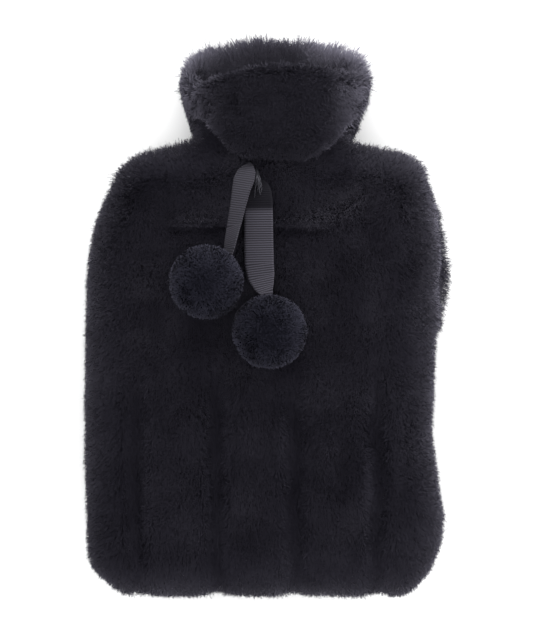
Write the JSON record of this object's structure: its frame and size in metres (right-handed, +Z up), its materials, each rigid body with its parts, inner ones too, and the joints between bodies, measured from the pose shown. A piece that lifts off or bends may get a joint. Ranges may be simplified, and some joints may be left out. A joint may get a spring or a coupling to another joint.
{
  "type": "hot water bottle cover",
  "caption": "Hollow plush cover for a hot water bottle, lying on its back, with a folded collar, a ribbed ribbon tie and plush pompoms on its ends",
  "frame": {"origin": "under the middle of the cover, on the surface that it lies on", "axes": "+Y runs along the cover to its collar, +X to the right of its face, +Z up out of its face"},
  "size_m": [0.22, 0.34, 0.1004],
  "materials": {
    "fur": "near-black plush pile with a soft sheen at its edges",
    "ribbon": "charcoal ribbed ribbon, slight sheen",
    "pompom": "near-black dense plush"
  },
  "bodies": {
    "root": {"front_panel": "fur", "back_panel": "fur", "collar": "fur", "ribbon_left": "ribbon", "ribbon_right": "ribbon", "pompom_left": "pompom", "pompom_right": "pompom"}
  },
  "joints": []
}
